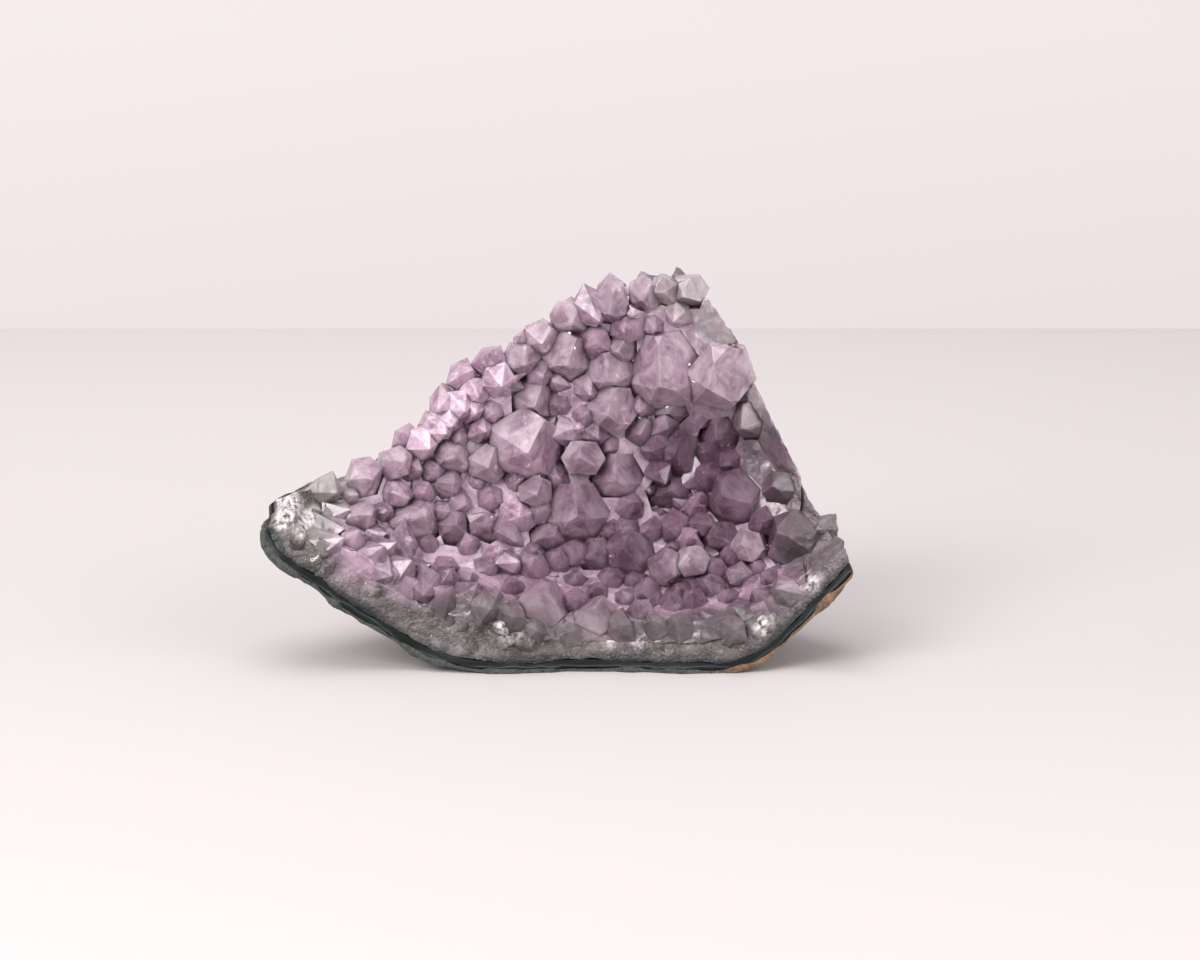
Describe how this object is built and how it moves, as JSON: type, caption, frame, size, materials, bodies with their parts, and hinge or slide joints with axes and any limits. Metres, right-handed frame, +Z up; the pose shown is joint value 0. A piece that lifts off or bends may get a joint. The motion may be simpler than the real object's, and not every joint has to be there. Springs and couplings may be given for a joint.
{
  "type": "amethyst cluster",
  "caption": "Broken piece of geode wall that stands on its flat underside, its hollow side lined with lilac amethyst crystals over grey quartz and a dark agate rim.",
  "frame": {"origin": "on the ground under the middle of the object's box", "axes": "+X along the length toward the steep broken end, +Z up, the crystals face -Y"},
  "size_m": [0.0996, 0.0434, 0.0647],
  "materials": {
    "crust": "rough, earthy",
    "agate": "broken, slightly waxy",
    "grey_quartz": "granular, sparkling, slightly see-through",
    "amethyst_roots": "cloudy crystal roots",
    "amethyst": "glossy crystal faces, clear to cloudy inside"
  },
  "bodies": {
    "root": {"outer_crust": "crust", "agate_band": "agate", "quartz_wall": "grey_quartz", "crystal_peak_left": "amethyst", "crystal_peak_middle": "amethyst", "crystal_peak_top": "amethyst", "crystal_top_glitter": "amethyst", "crystal_top_left": "amethyst", "crystal_top_low": "amethyst", "crystal_bright_upper": "amethyst", "crystal_dim_upper": "amethyst", "crystal_pair_upper_right": "amethyst", "crystal_ridge_pale": "amethyst", "crystal_ridge_second": "amethyst", "crystal_centre_white_top": "amethyst", "crystal_centre_wide": "amethyst", "crystal_main_left": "amethyst", "crystal_white_cap": "amethyst", "crystal_hanging": "amethyst", "crystal_left_of_main": "amethyst", "crystal_left_pale": "amethyst", "crystal_left_glitter": "amethyst", "crystal_left_standing": "amethyst", "crystal_left_white_triangle": "amethyst", "crystal_left_low": "amethyst", "crystal_left_speckled": "amethyst", "crystal_left_end_high": "amethyst", "crystal_left_end_low": "amethyst", "crystal_hexagon_centre": "amethyst", "crystal_speckled_centre": "amethyst", "crystal_pit_rim": "amethyst", "crystal_below_pair": "amethyst", "crystal_right_centre": "amethyst", "crystal_right_striped": "amethyst", "crystal_right_upper": "amethyst", "crystal_right_round": "amethyst", "crystal_right_flat": "amethyst", "crystal_right_edge": "amethyst", "crystal_right_end": "amethyst", "crystal_right_small_pale": "amethyst", "crystal_low_dark": "amethyst", "crystal_low_white": "amethyst", "crystal_low_sparkling": "amethyst", "crystal_low_centre": "amethyst", "crystal_front_speckled": "amethyst", "crystal_front_bright": "amethyst", "crystal_front_middle": "amethyst", "crystal_front_upper": "amethyst", "crystal_front_right": "amethyst", "druse": "amethyst_roots"}
  },
  "joints": []
}
